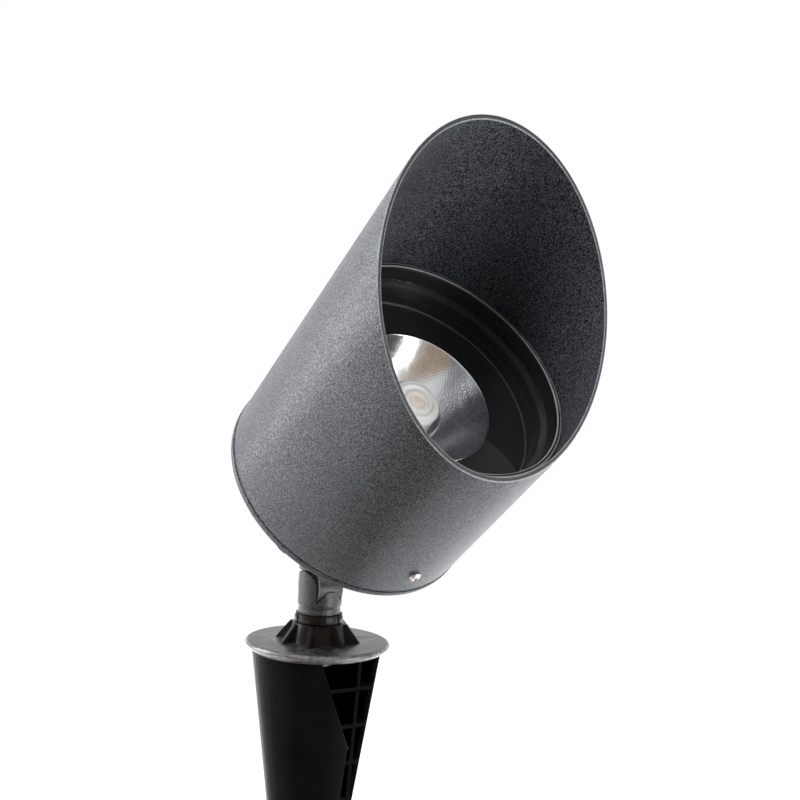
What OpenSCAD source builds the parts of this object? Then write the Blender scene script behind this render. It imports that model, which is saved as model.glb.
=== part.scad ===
// Outdoor spotlight on a ground stake.
// A round cast head with a long slant cut hood tilts on a forked knuckle, and the knuckle
// stem turns in the hub of a ribbed plastic stake. Origin: the stake's axis at the soil
// line, under the flange. +Z is up and the lamp aims towards -Y.

/* [Hood] */
// Outer radius of the hood
hood_r = 70; // [60:0.5:85]
// Wall of the hood
hood_wall = 2; // [1.5:0.1:3]
// Length of the hood along its longest side
hood_long = 194; // [170:1:230]
// Length of the hood along its shortest side
hood_short = 98; // [98:1:130]
// Wall of the thick band at the hood's rear
hood_band_wall = 5; // [4:0.1:7]
// Length of the thick band at the hood's rear
hood_band_len = 24; // [20:0.5:32]
// Distance of the set screw from the hood's rear edge
set_screw_s = 16; // [8:0.5:18]
// Radius of the set screw's shank
set_screw_r = 2; // [1.5:0.25:2.5]
// Radius of the set screw's button head
set_screw_head_r = 3; // [2.6:0.1:4.5]

/* [Rear cap] */
// How far the cap's rim stands out past the hood
cap_proud = 0.4; // [0:0.1:1]
// Dark gap between the hood and the cap
seam_gap = 0.9; // [0.4:0.1:1.5]
// Thickness of the cap's rim
cap_rim_t = 3.4; // [2.5:0.1:6]
// Height of the cap's domed back, from its front face
cap_depth = 22; // [16:0.5:30]
// Wall of the cap
cap_wall = 3.2; // [2.5:0.1:5]
// Angle of the cap screws from the cap's lowest and highest points
cap_screw_angle = 55; // [45:1:65]
// Radius of the cap screws' shank
cap_screw_r = 2; // [1.5:0.1:2.5]
// How far the screw bosses stand out of the cap's rim
cap_boss_h = 1.2; // [1:0.1:3]

/* [Housing] */
// Running clearance between hood and housing
hood_clear = 0.4; // [0.3:0.05:0.8]
// Length of the housing from the hood's rear edge to its front end
housing_len = 93; // [88:0.5:97]
// Wall of the housing round the driver cavity
driver_wall = 9.6; // [8.6:0.1:14]
// Depth of the driver cavity
driver_cavity_len = 34; // [30:0.5:38]
// Thickness of the wall that carries the LED board
led_wall_t = 8; // [5:0.5:9]
// Wall of the housing round the optics
housing_wall = 5; // [4:0.1:6]
// Room round the driver module in its cavity
driver_room = 13; // [9:0.5:20]
// Length of the driver module
driver_len = 26; // [16:0.5:28]

/* [Lens] */
// Thickness of the front glass
glass_t = 4; // [3:0.1:5]
// Depth of the glass's front face below the housing's front end
glass_depth = 4.6; // [3.5:0.1:6]
// Thickness of the lens gasket
lens_gasket_t = 1.4; // [1:0.1:2]
// Wall left outside the glass
glass_seat_wall = 1.5; // [1.2:0.1:2]
// Thickness of the lens ring's front flange
ring_t = 4.2; // [2.5:0.1:4.4]
// Width of the lens ring's front face
ring_w = 3; // [2.5:0.1:5]

/* [Optics] */
// Radius of the reflector's mouth
reflector_r = 36.3; // [33:0.1:45]
// Radius of the reflector's foot
reflector_foot_r = 16; // [15.5:0.1:18]
// Height of the reflector
reflector_h = 24.3; // [20:0.1:26]
// Distance of the reflector's foot in front of the LED wall
reflector_lift = 6; // [5.5:0.1:7]
// Wall of the reflector
reflector_wall = 1; // [0.8:0.1:1.5]
// Facets round the reflector
reflector_cols = 48; // [36:2:60]
// Rows of facets on the reflector
reflector_rows = 9; // [6:1:12]
// Inset of the black cup's floor from the optics bore
cup_inset = 2.6; // [2.2:0.1:6]
// Wall of the black cup
cup_wall = 1.4; // [1:0.1:2]
// Depth of the cup's floor behind the reflector's mouth
cup_floor_drop = 3.7; // [1:0.1:5]
// Radius of the centre optic
optic_r = 12.2; // [10:0.1:13]
// Depth of the optic's face behind the reflector's mouth
optic_drop = 2.8; // [2:0.1:8]
// Radius of the LED board
board_r = 27; // [22:0.5:30]
// Thickness of the LED board
board_t = 1.6; // [1:0.1:2]
// Side of the square LED package
led_side = 19; // [13:0.5:19.5]
// Thickness of the LED package
led_t = 1.4; // [1:0.1:2]

/* [Knuckle] */
// Angle of the beam above the horizon
beam_elev = 40; // [30:1:60]
// Height of the tilt axis above the soil line
pivot_z = 35; // [34.5:0.5:42]
// Distance of the tilt axis behind the hood's rear edge
pivot_back = 62.7; // [60:0.1:75]
// Distance of the tilt axis below the beam's axis
pivot_drop = 30.4; // [20:0.1:36]
// Radius of the fork at the stem's top
fork_r = 12.3; // [12:0.1:14]
// Width of the fork's slot
slot_w = 16.4; // [12:0.1:17]
// Radius of the stem above the lock ring
stem_r = 11.8; // [11.5:0.1:12]
// Radius of the stem's spigot in the stake
spigot_r = 10.4; // [9:0.1:10.5]
// Depth of the spigot below the soil line
spigot_depth = 8; // [5:0.5:12]
// Radius of the cable bore through the stem
cable_bore_r = 4.5; // [3:0.1:5]
// Radius of the tongue's round end on the arm
tongue_r = 11.6; // [10:0.1:11.8]
// Radius of the tilt bolt
bolt_r = 3; // [2.5:0.1:3.5]
// Running clearance round the tilt bolt
bolt_clear = 0.06; // [0.02:0.01:0.1]
// Thickness of each friction washer
washer_t = 0.5; // [0.4:0.05:0.8]
// Radius of the friction washers
washer_r = 8; // [6:0.1:9]
// Radius of the arm's foot on the rear cap
foot_r = 23; // [20:0.5:26]
// Thickness of the arm's foot
foot_t = 6; // [4:0.5:8]

/* [Lock ring] */
// Outer radius of the lock ring
lock_r = 13; // [12.6:0.1:15]
// Thickness of the lock ring
lock_t = 5; // [4:0.1:6]
// Number of grip lugs on the lock ring
lock_lugs = 5; // [3:1:8]
// Angle that each grip lug spans
lock_lug_span = 24; // [16:1:30]
// Number of fine notches round the lock ring's top edge
lock_notches = 40; // [24:1:60]

/* [Stake] */
// Radius of the flange
flange_r = 40.4; // [38:0.1:48]
// Thickness of the flange
flange_t = 4.8; // [4:0.1:6]
// Width of the step under the flange's rim
flange_step = 3.4; // [3:0.1:6]
// Height of the hub above the flange
hub_h = 10.2; // [8:0.1:12]
// Radius of the hub at its top
hub_r = 14.6; // [14:0.1:16]
// Radius of the hub at its foot
hub_foot_r = 17.5; // [16:0.1:19]
// Number of gussets round the hub
gussets = 8; // [6:1:12]
// Reach of the gussets at their foot
gusset_foot_r = 24.2; // [21:0.1:28]
// Thickness of each gusset
gusset_t = 2.4; // [1.6:0.1:3]
// Length of the stake below the soil line
stake_len = 215; // [180:1:260]
// Inset of the stake's shell from the flange's step
shell_inset = 0.4; // [0.2:0.1:3]
// Wall of the stake's shell
shell_wall = 2.8; // [2:0.1:4]
// Distance between the stake's cross webs
web_pitch = 21; // [18:0.5:40]
// Thickness of the stake's ribs and webs
rib_t = 2.2; // [1.6:0.1:3.5]
// Direction of the stake's open side, measured from +X
window_angle = 267; // [180:1:330]
// Offset of the side rib from the stake's axis
rib_offset = 16; // [10:0.5:18]

/* [Hidden] */
$fn = 96;
// Small overlap that joins solids of one piece and clears cut faces
eps = 0.01;
// Gap between pieces that sit face to face
seat = 0.1;
// Clearance of a screw in its hole
screw_clear = 0.1;
// Facets of small round parts that are blended by hull
blend_fn = 32;

// Head, measured along the beam from the hood's rear edge
hood_bore = hood_r - hood_wall;
band_bore = hood_r - hood_band_wall;
journal_r = band_bore - hood_clear;
housing_r = hood_bore - hood_clear;
shoulder_s = hood_band_len + hood_clear;
cap_r = hood_r + cap_proud;
cap_front = -seam_gap;
cap_back = cap_front - cap_depth;
set_screw_clear = 0.05;
set_screw_head_h = 2.6;
set_screw_edge = 1.2;
set_screw_hex_r = 1.3;
set_screw_hex_depth = 1.3;
rim_mid = (hood_long + hood_short) / 2;
rim_slant = atan2(hood_long - hood_short, 2 * hood_r);

// Housing and lens stack
driver_cavity_r = journal_r - driver_wall;
driver_r = driver_cavity_r - driver_room;
driver_entry_r = 7;
driver_entry_h = 3;
led_face = driver_cavity_len + led_wall_t;
optics_bore = housing_r - housing_wall;
glass_seat_r = housing_r - glass_seat_wall;
glass_r = glass_seat_r - seat;
glass_front = housing_len - glass_depth;
glass_back = glass_front - glass_t;
gasket_back = glass_back - seat - lens_gasket_t;
ring_front = housing_len + seat + ring_t;
ring_r = housing_r - hood_clear;
ring_bore = ring_r - ring_w;

// Optics
pad_gap = 0.5;
board_back = led_face + pad_gap;
led_back = board_back + board_t + seat;
foot_s = led_face + reflector_lift;
mouth_s = foot_s + reflector_h;
cup_floor_r = optics_bore - cup_inset;
cup_floor_s = mouth_s - cup_floor_drop;
cup_mouth_gap = 0.3;
optic_front = mouth_s - optic_drop;
holder_gap = 0.3;
holder_r = reflector_foot_r - holder_gap;
holder_flange_w = 2;
holder_flange_r = reflector_foot_r + holder_flange_w;
holder_step = 4.4;
holder_bore = optic_r + seat;
led_round_r = 7;
led_clear = 0.6;
holder_edge = 0.6;
optic_edge_h = 6.4;
optic_step = 0.5;
optic_waist_h = 1.2;
optic_back_h = 2.6;
led_base = 0.7;
pad_margin = 8;
pad_hole_r = 1;
lead_r = 0.9;
grommet_wall = 1.3;
grommet_r = lead_r + grommet_wall;
lead_offset = 4;
lead_y = -21;

// Screws
cap_screw_pcr = driver_cavity_r + (journal_r - driver_cavity_r) / 2;
cap_screw_len = 16;
cap_boss_r = 7;
cap_ear_r = 7;
cap_angles = [cap_screw_angle, 180 - cap_screw_angle, 180 + cap_screw_angle, 360 - cap_screw_angle];
cap_pad_edge = 1.5;
cap_pad_r = foot_r + cap_pad_edge;
cap_pad_slope = 6;
cap_mid_out = 4;
cap_mid_r = (cap_r + cap_pad_r) / 2 + cap_mid_out;
cap_shoulder_w = 7;
cap_shoulder_r = cap_r - cap_shoulder_w;
cap_shoulder_h = 1;
cap_lip_w = 1;
cap_bevel = 0.9;
cap_mid_depth = cap_depth * 0.46;
cap_low_depth = cap_depth * 0.86;
cap_head_out = 1.5;
cap_head_r = cap_screw_r + cap_head_out;
cap_head_room = 0.6;
cap_ear_inset = 1.2;
cap_seat_s = cap_front - cap_rim_t - cap_boss_h;
arm_screw_r = 2.5;
arm_head_out = 1.9;
arm_head_r = arm_screw_r + arm_head_out;
arm_head_room = 0.3;
arm_head_h = 3;
arm_head_seat = 2;
arm_boss_wall = 2.4;
arm_boss_r = arm_screw_r + arm_boss_wall;
cap_head_h = 2.2;
cap_gasket_edge = 1;
arm_screw_edge = 5.5;
arm_screw_pcr = foot_r - arm_screw_edge;
arm_screw_len = 13;
arm_screw_count = 3;
arm_boss_h = arm_screw_len - foot_t + 2;
arm_gasket_t = 1;
arm_gasket_edge = 0.5;
arm_gasket_hole = 3;
gasket_room = 0.5;
led_screw_r = 1.5;
led_screw_edge = 4;
led_screw_pcr = board_r - led_screw_edge;
led_screw_depth = 4;
led_head_out = 1.2;
led_head_h = 1.9;
led_head_root = 0.4;

// Knuckle
tilt_up = 50;
tilt_down = 30;
tongue_clear = 0.3;
cheek_r = sqrt(fork_r * fork_r - slot_w * slot_w / 4);
neck_rise = 0.6;
neck_start = cheek_r + neck_rise;
tongue_w = slot_w - 2 * washer_t - 0.4;
neck_r = fork_r + 0.2;
lip_drop = 1.8;
lip_z = pivot_z - lip_drop;
slot_floor_r = tongue_r + 0.5;
lip_y = sqrt(slot_floor_r * slot_floor_r - lip_drop * lip_drop);
tongue_back = lip_y * cos(tilt_up) + lip_drop * sin(tilt_up) - tongue_clear;
tongue_front = lip_y * cos(tilt_down) + lip_drop * sin(tilt_down) - tongue_clear;
stem_base = flange_t + hub_h;
lock_bottom = stem_base + 0.3;
lock_top = lock_bottom + lock_t;
stem_shoulder = lock_top + 0.2;
shoulder_h = 5;
fork_base = stem_shoulder + shoulder_h;
fork_flare = 2;
bolt_tip_wall = 1.4;
bolt_tip = fork_r - bolt_tip_wall;
bolt_socket_r = 2.3;
bolt_socket_depth = 2;
bolt_head_out = 2.2;
bolt_head_r = bolt_r + bolt_head_out;
bolt_head_inset = 0.3;
bolt_head_face = fork_r - bolt_head_inset;
wire_bore_r = 2.6;
wire_bore_wall = 1.2;
wire_bore_offset = bolt_r + wire_bore_r + wire_bore_wall;
neck_angle = 90 - beam_elev;
neck_run = 21;
neck_flare = 2;
neck_len = neck_start + neck_run;
elbow_y = -pivot_drop + neck_len * cos(beam_elev);
elbow_s = -pivot_back + neck_len * sin(beam_elev);
foot_s_back = cap_back - arm_gasket_t - foot_t - 2 * seat;

// Cable bushing in the spigot's lower end
bushing_wall = 1.6;
bushing_bore_r = cable_bore_r - bushing_wall;
bushing_len = 6;
bushing_lip = 1.5;
bushing_lip_out = 2;

// Lock ring
lug_out = 0.6;
lug_turn = 234;
lug_w = 2 * lock_r * sin(lock_lug_span / 2);
lug_inset = 0.3;
notch_depth = 0.7;
notch_w = 1;
lock_clear = 0.3;
lug_top = lock_top - notch_depth - lug_inset;

// Stake
spigot_clear = 0.08;
step_h = 1.4;
bead_r = (flange_t - step_h) / 2;
tip_len = 28;
tip_base_r = 9.5;
shell_r = flange_r - flange_step - shell_inset;
taper = (shell_r - tip_base_r) / (stake_len - tip_len);
apex_z = -shell_r / taper;
window_left_top = 3;
window_slant = 18.5;
window_slant_len = 48;
window_low_angle = 41;
window_span = 98;
face_share = 0.58;
gate_r = 1.4;
gate_h = 0.4;
tip_r = 0.8;
cable_room = 14;
window_end = 6;
top_root = 0.5;
gusset_root = 2;
gusset_top = 1.6;
gusset_drop = 0.3;
gate_reach = 33.5;
web_count = floor((stake_len - tip_len) / web_pitch);

function shell_at(z) = shell_r + taper * z;

// Puts children, drawn along the beam from the hood's rear edge, into the lamp's frame
module in_head() {
    translate([0, 0, pivot_z])
        rotate([90 - beam_elev, 0, 0])
            translate([0, pivot_drop, pivot_back])
                children();
}

// Ring of revolution between two radii
module ring(r_out, r_in, z_low, z_high) {
    translate([0, 0, z_low])
        difference() {
            cylinder(r = r_out, h = z_high - z_low);
            translate([0, 0, -1])
                cylinder(r = r_in, h = z_high - z_low + 2);
        }
}

// Cone that the stake's outside follows, grown by a wall
module stake_cone(grow, z_low, z_high) {
    translate([0, 0, z_low])
        cylinder(r1 = shell_at(z_low) + grow, r2 = shell_at(z_high) + grow, h = z_high - z_low);
}

// Space in front of the stake's open side: its left edge slants at the top, then runs down
module stake_window() {
    reach = 2 * shell_r;
    low = -stake_len + tip_len + window_end;
    rotate([0, 0, window_angle - 30])
        difference() {
            translate([-shell_r / 3, -shell_r / 3, low])
                cube([reach, reach, top_root - low]);
            translate([0, window_left_top, 0])
                rotate([window_slant, 0, 0])
                    translate([-reach, -reach, -window_slant_len * 1.1])
                        cube([2 * reach, reach, 4 * window_slant_len]);
            rotate([0, 0, window_low_angle])
                translate([-reach, -2 * reach, low - 1])
                    cube([2 * reach, 2 * reach, -low + 1 - window_slant_len]);
            rotate([0, 0, window_span])
                translate([-reach, 0, low - 1])
                    cube([2 * reach, 2 * reach, stake_len]);
        }
}

// Webs and ribs that fill the stake behind its open side
module stake_ribs() {
    low = -stake_len + tip_len + rib_t / 2;
    intersection() {
        stake_cone(-shell_wall / 2, low, top_root);
        rotate([0, 0, window_angle])
            difference() {
                union() {
                    translate([-rib_t / 2, -shell_r, low])
                        cube([rib_t, 2 * shell_r, 1 - low]);
                    for (side = [-1, 1])
                        translate([-shell_r, side * rib_offset - rib_t / 2, low])
                            cube([2 * shell_r, rib_t, 1 - low]);
                    for (i = [1 : web_count])
                        translate([-shell_r, -shell_r, -i * web_pitch])
                            cube([2 * shell_r, 2 * shell_r, rib_t]);
                }
                translate([0, 0, apex_z])
                    rotate([0, atan(face_share * taper), 0])
                        translate([0, -shell_r, 0])
                            cube([2 * shell_r, 2 * shell_r, -2 * apex_z]);
            }
    }
}

// Flange with a rolled rim over a narrower step, and the hub's sloping body
module stake_top() {
    rotate_extrude()
        union() {
            polygon([
                [spigot_r + spigot_clear, 0],
                [flange_r - flange_step, 0],
                [flange_r - flange_step, step_h + bead_r],
                [flange_r - bead_r, flange_t],
                [hub_foot_r, flange_t],
                [hub_r, stem_base],
                [spigot_r + spigot_clear, stem_base]
            ]);
            translate([flange_r - bead_r, step_h + bead_r])
                circle(r = bead_r);
            translate([flange_r - bead_r - flange_step, step_h])
                square([flange_step, 2 * bead_r]);
        }
}

// Sloping gusset from the hub's top down to the flange
module gusset() {
    run = (gusset_foot_r - hub_r - gusset_top) / (hub_h - gusset_drop);
    high = stem_base - gusset_drop;
    translate([0, gusset_t / 2, 0])
        rotate([90, 0, 0])
            linear_extrude(gusset_t)
                polygon([
                    [hub_r - gusset_root, flange_t - 1],
                    [gusset_foot_r + run, flange_t - 1],
                    [hub_r + gusset_top, high],
                    [hub_r - gusset_root, high]
                ]);
}

module ground_stake() {
    color("#2b2b2e") {
        difference() {
            union() {
                stake_top();
                for (i = [0 : gussets - 1])
                    rotate([0, 0, i * 360 / gussets])
                        gusset();
                difference() {
                    rotate_extrude()
                        polygon([
                            [0, -stake_len],
                            [tip_r, -stake_len],
                            [shell_at(-stake_len + tip_len), -stake_len + tip_len],
                            [shell_at(1), 1],
                            [0, 1]
                        ]);
                    stake_cone(-shell_wall, -stake_len + tip_len + rib_t, 2);
                    stake_window();
                }
                stake_ribs();
                rotate([0, 0, window_angle - 30])
                    translate([gate_reach, 0, flange_t - eps])
                        cylinder(r = gate_r, h = gate_h, $fn = blend_fn);
            }
            translate([0, 0, -spigot_depth - cable_room])
                cylinder(r = spigot_r + spigot_clear, h = stem_base + spigot_depth + cable_room + 1);
        }
    }
}

module lock_ring() {
    color("#343437")
        difference() {
            union() {
                ring(lock_r, spigot_r + lock_clear, lock_bottom, lock_top);
                intersection() {
                    ring(lock_r + lug_out, lock_r - 1, lock_bottom + lug_inset, lug_top);
                    for (i = [0 : lock_lugs - 1])
                        rotate([0, 0, lug_turn + i * 360 / lock_lugs])
                            translate([lock_r - 3, -lug_w / 2, lock_bottom])
                                cube([6, lug_w, lock_t]);
                }
            }
            for (i = [0 : lock_notches - 1])
                rotate([0, 0, i * 360 / lock_notches])
                    translate([lock_r - notch_depth, -notch_w / 2, lock_top - notch_depth])
                        cube([2 * notch_depth, notch_w, 2 * notch_depth]);
        }
}

// Stem with a forked top, a shoulder over the lock ring and a bored spigot
module knuckle_stem() {
    color("#6b6b6f")
        difference() {
            union() {
                translate([0, 0, -spigot_depth])
                    cylinder(r = spigot_r, h = stem_shoulder + spigot_depth + eps);
                translate([0, 0, stem_shoulder])
                    cylinder(r = stem_r, h = fork_base - stem_shoulder);
                translate([0, 0, fork_base - fork_flare])
                    cylinder(r1 = stem_r, r2 = fork_r, h = fork_flare + eps);
                intersection() {
                    translate([0, 0, fork_base])
                        cylinder(r = fork_r, h = pivot_z);
                    union() {
                        translate([-fork_r, -fork_r, fork_base - 1])
                            cube([2 * fork_r, 2 * fork_r, pivot_z - fork_base + 1]);
                        translate([-fork_r, 0, pivot_z])
                            rotate([0, 90, 0])
                                cylinder(r = cheek_r, h = 2 * fork_r);
                    }
                }
            }
            translate([-slot_w / 2, 0, pivot_z])
                rotate([0, 90, 0])
                    cylinder(r = slot_floor_r, h = slot_w);
            translate([-slot_w / 2, -2 * fork_r, lip_z])
                cube([slot_w, 4 * fork_r, pivot_z]);
            translate([0, 0, -spigot_depth - 1])
                cylinder(r = cable_bore_r, h = pivot_z - slot_floor_r / 2 + spigot_depth);
            translate([-bolt_tip, 0, pivot_z])
                rotate([0, 90, 0])
                    cylinder(r = bolt_r + bolt_clear / 2, h = bolt_tip + fork_r);
            translate([bolt_head_face - bolt_head_r + bolt_r, 0, pivot_z])
                rotate([0, 90, 0])
                    cylinder(r1 = bolt_r, r2 = bolt_head_r + 1, h = bolt_head_r - bolt_r + 1);
        }
}

// Rubber bushing in the stem's lower end, where the cable comes in
module cable_bushing() {
    color("#1f1f21") {
        ring(cable_bore_r - seat, bushing_bore_r, -spigot_depth, -spigot_depth + bushing_len);
        ring(cable_bore_r + bushing_lip_out, bushing_bore_r,
            -spigot_depth - bushing_lip, -spigot_depth - seat / 2);
        ring(cable_bore_r - 1, bushing_bore_r, -spigot_depth - 1, -spigot_depth + 1);
    }
}

// Countersunk bolt with a hex socket, entered from the far side of the fork
module pivot_bolt() {
    color("#b8b9bb")
        translate([0, 0, pivot_z])
            rotate([0, 90, 0])
                difference() {
                    union() {
                        translate([0, 0, -bolt_tip + seat])
                            cylinder(r = bolt_r, h = bolt_tip + bolt_head_face - seat);
                        translate([0, 0, bolt_head_face - bolt_head_r + bolt_r])
                            cylinder(r1 = bolt_r - 0.1, r2 = bolt_head_r - 0.1, h = bolt_head_r - bolt_r);
                    }
                    translate([0, 0, bolt_head_face - bolt_socket_depth])
                        cylinder(r = bolt_socket_r, h = bolt_socket_depth + 1, $fn = 6);
                }
}

module pivot_washers() {
    color("#d8d8d4")
        for (side = [-1, 1])
            translate([side * (tongue_w / 2 + 0.1 + washer_t / 2) - washer_t / 2, 0, pivot_z])
                rotate([0, 90, 0])
                    ring(washer_r, bolt_r + 0.2, 0, washer_t);
}

// Places children at the pivot with +Z along the neck
module along_neck() {
    translate([0, -pivot_drop, -pivot_back])
        rotate([-neck_angle, 0, 0])
            children();
}

// Cast arm: tongue on the tilt bolt, round neck, elbow and screwed foot on the cap
module knuckle_arm() {
    color("#6b6b6f")
        in_head()
            difference() {
                union() {
                    along_neck() {
                        translate([-tongue_w / 2, 0, 0])
                            rotate([0, 90, 0])
                                cylinder(r = tongue_r, h = tongue_w);
                        translate([-tongue_w / 2, -tongue_front, 0])
                            cube([tongue_w, tongue_front + tongue_back, neck_start + 1]);
                    }
                    hull() {
                        along_neck()
                            translate([0, 0, neck_start])
                                cylinder(r = neck_r, h = 1, $fn = 48);
                        translate([0, elbow_y, elbow_s])
                            sphere(r = neck_r, $fn = blend_fn);
                    }
                    hull() {
                        translate([0, elbow_y, elbow_s])
                            sphere(r = neck_r, $fn = blend_fn);
                        translate([0, 0, foot_s_back])
                            cylinder(r = neck_r + neck_flare, h = 1, $fn = 48);
                    }
                    translate([0, 0, foot_s_back])
                        cylinder(r = foot_r, h = foot_t);
                }
                along_neck()
                    translate([-tongue_w, 0, 0])
                        rotate([0, 90, 0])
                            cylinder(r = bolt_r + bolt_clear, h = 2 * tongue_w);
                along_neck()
                    translate([0, wire_bore_offset, -2 * tongue_r])
                        cylinder(r = wire_bore_r, h = neck_len + 2 * tongue_r);
                translate([0, 0, elbow_s])
                    cylinder(r = wire_bore_r + 1, h = -elbow_s);
                for (i = [0 : arm_screw_count - 1])
                    rotate([0, 0, 90 + i * 360 / arm_screw_count])
                        translate([arm_screw_pcr, 0, foot_s_back - foot_r]) {
                            cylinder(r = arm_screw_r + screw_clear, h = 2 * foot_r);
                            cylinder(r = arm_head_r + arm_head_room, h = foot_r + arm_head_seat);
                        }
            }
}

// Cap head screw along +Z with its head at the rear and a hex socket
module cap_screw(r, len, head_r, head_h) {
    difference() {
        union() {
            cylinder(r = r, h = len);
            translate([0, 0, -head_h])
                cylinder(r = head_r, h = head_h + eps);
        }
        translate([0, 0, -head_h - 1])
            cylinder(r = r * 0.75, h = head_h * 0.6 + 1, $fn = 6);
    }
}

module arm_screws() {
    color("#b8b9bb")
        in_head()
            for (i = [0 : arm_screw_count - 1])
                rotate([0, 0, 90 + i * 360 / arm_screw_count])
                    translate([arm_screw_pcr, 0, foot_s_back + arm_head_seat - seat])
                        cap_screw(arm_screw_r, arm_screw_len, arm_head_r, arm_head_h);
}

module arm_gasket() {
    color("#1f1f21")
        in_head()
            difference() {
                ring(foot_r - arm_gasket_edge, wire_bore_r + arm_gasket_hole,
                    cap_back - arm_gasket_t - seat, cap_back - seat);
                for (i = [0 : arm_screw_count - 1])
                    rotate([0, 0, 90 + i * 360 / arm_screw_count])
                        translate([arm_screw_pcr, 0, cap_back - foot_t])
                            cylinder(r = arm_screw_r + gasket_room, h = 2 * foot_t);
            }
}

// Domed back of the cap, turned from one profile
module cap_shell() {
    rotate_extrude()
        polygon([
            [0, cap_front],
            [cap_r, cap_front],
            [cap_r, cap_front - cap_rim_t + cap_bevel],
            [cap_r - cap_bevel, cap_front - cap_rim_t],
            [cap_shoulder_r, cap_front - cap_rim_t - cap_shoulder_h],
            [cap_mid_r, cap_front - cap_mid_depth],
            [cap_pad_r + cap_pad_slope, cap_front - cap_low_depth],
            [cap_pad_r, cap_back],
            [0, cap_back]
        ]);
}

// Hollow of the cap, one wall inside its domed back
module cap_hollow() {
    rotate_extrude()
        polygon([
            [0, cap_back + cap_wall],
            [cap_pad_r - cap_lip_w, cap_back + cap_wall],
            [cap_pad_r + cap_pad_slope - 2 * cap_lip_w, cap_front - cap_low_depth + cap_wall],
            [cap_mid_r - cap_wall, cap_front - cap_mid_depth + cap_wall],
            [driver_cavity_r - cap_lip_w, cap_front - 1],
            [driver_cavity_r - cap_lip_w, cap_front + 1],
            [0, cap_front + 1]
        ]);
}

module rear_cap() {
    color("#5f5f64")
        in_head()
            difference() {
                union() {
                    difference() {
                        cap_shell();
                        cap_hollow();
                    }
                    for (a = cap_angles)
                        rotate([0, 0, 90 + a])
                            hull() {
                                translate([cap_screw_pcr, 0, cap_seat_s])
                                    cylinder(r = cap_boss_r, h = cap_boss_h + 1, $fn = blend_fn);
                                translate([cap_r - cap_ear_r - cap_ear_inset, 0, cap_seat_s])
                                    cylinder(r = cap_ear_r, h = cap_boss_h + 1, $fn = blend_fn);
                            }
                    for (i = [0 : arm_screw_count - 1])
                        rotate([0, 0, 90 + i * 360 / arm_screw_count])
                            translate([arm_screw_pcr, 0, cap_back + 1])
                                cylinder(r = arm_boss_r, h = arm_boss_h);
                }
                translate([0, 0, cap_back - 1])
                    cylinder(r = wire_bore_r + 1, h = cap_depth);
                for (a = cap_angles)
                    rotate([0, 0, 90 + a])
                        translate([cap_screw_pcr, 0, cap_seat_s - cap_depth]) {
                            cylinder(r = cap_screw_r + screw_clear, h = 2 * cap_depth);
                            cylinder(r = cap_head_r + cap_head_room, h = cap_depth);
                        }
                for (i = [0 : arm_screw_count - 1])
                    rotate([0, 0, 90 + i * 360 / arm_screw_count])
                        translate([arm_screw_pcr, 0, cap_back - 1])
                            cylinder(r = arm_screw_r + screw_clear, h = arm_boss_h);
            }
}

module cap_gasket() {
    color("#1f1f21")
        in_head()
            difference() {
                ring(journal_r - cap_gasket_edge, driver_cavity_r + cap_gasket_edge / 2,
                    cap_front + seat, -seat / 2);
                for (a = cap_angles)
                    rotate([0, 0, 90 + a])
                        translate([cap_screw_pcr, 0, 2 * cap_front])
                            cylinder(r = cap_screw_r + gasket_room, h = 3 * seam_gap);
            }
}

module cap_screws() {
    color("#b8b9bb")
        in_head()
            for (a = cap_angles)
                rotate([0, 0, 90 + a])
                    translate([cap_screw_pcr, 0, cap_seat_s - seat])
                        cap_screw(cap_screw_r, cap_screw_len, cap_head_r, cap_head_h);
}

// Inner housing: driver cavity behind, LED wall in the middle, optics bore in front
module housing() {
    color("#4d4d52")
        in_head()
            difference() {
                union() {
                    cylinder(r = journal_r, h = shoulder_s + eps);
                    translate([0, 0, shoulder_s])
                        cylinder(r = housing_r, h = housing_len - shoulder_s);
                }
                translate([0, 0, -1])
                    cylinder(r = driver_cavity_r, h = driver_cavity_len + 1);
                translate([0, 0, led_face])
                    cylinder(r = optics_bore, h = housing_len);
                translate([0, 0, gasket_back])
                    cylinder(r = glass_seat_r, h = housing_len);
                for (side = [-1, 1])
                    translate([side * lead_offset, lead_y, driver_cavity_len - 1])
                        cylinder(r = grommet_r + seat, h = led_wall_t + 2);
                for (a = cap_angles)
                    rotate([0, 0, 90 + a])
                        translate([cap_screw_pcr, 0, -1])
                            cylinder(r = cap_screw_r + screw_clear, h = cap_screw_len);
                for (side = [-1, 1])
                    translate([side * led_screw_pcr, 0, led_face - led_screw_depth - 1])
                        cylinder(r = led_screw_r + screw_clear, h = led_screw_depth + 2);
            }
}

// Potted driver on the back of the LED wall, with a cable entry at its rear
module driver_module() {
    color("#303236")
        in_head() {
            translate([0, 0, driver_cavity_len - seat - driver_len])
                cylinder(r = driver_r, h = driver_len);
            translate([0, 0, driver_cavity_len - seat - driver_len - driver_entry_h])
                cylinder(r = driver_entry_r, h = driver_entry_h + eps);
        }
}

module lead_grommet() {
    color("#1f1f21")
        in_head()
            for (side = [-1, 1])
                translate([side * lead_offset, lead_y, 0])
                    ring(grommet_r, lead_r + seat, driver_cavity_len + seat, led_face);
}

module led_leads() {
    color("#c8452f")
        in_head()
            for (side = [-1, 1])
                translate([side * lead_offset, lead_y, driver_cavity_len + seat])
                    cylinder(r = lead_r, h = board_back - driver_cavity_len - 2 * seat);
}

module thermal_pad() {
    color("#9a9aa0")
        in_head()
            ring(led_side / 2 + pad_margin, pad_hole_r, led_face + seat / 2, board_back - seat / 2);
}

module led_board() {
    color("#e9e9e4")
        in_head()
            translate([0, 0, board_back])
                difference() {
                    cylinder(r = board_r, h = board_t);
                    for (side = [-1, 1])
                        translate([side * led_screw_pcr, 0, -1])
                            cylinder(r = led_screw_r + screw_clear, h = board_t + 2);
                }
}

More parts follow.
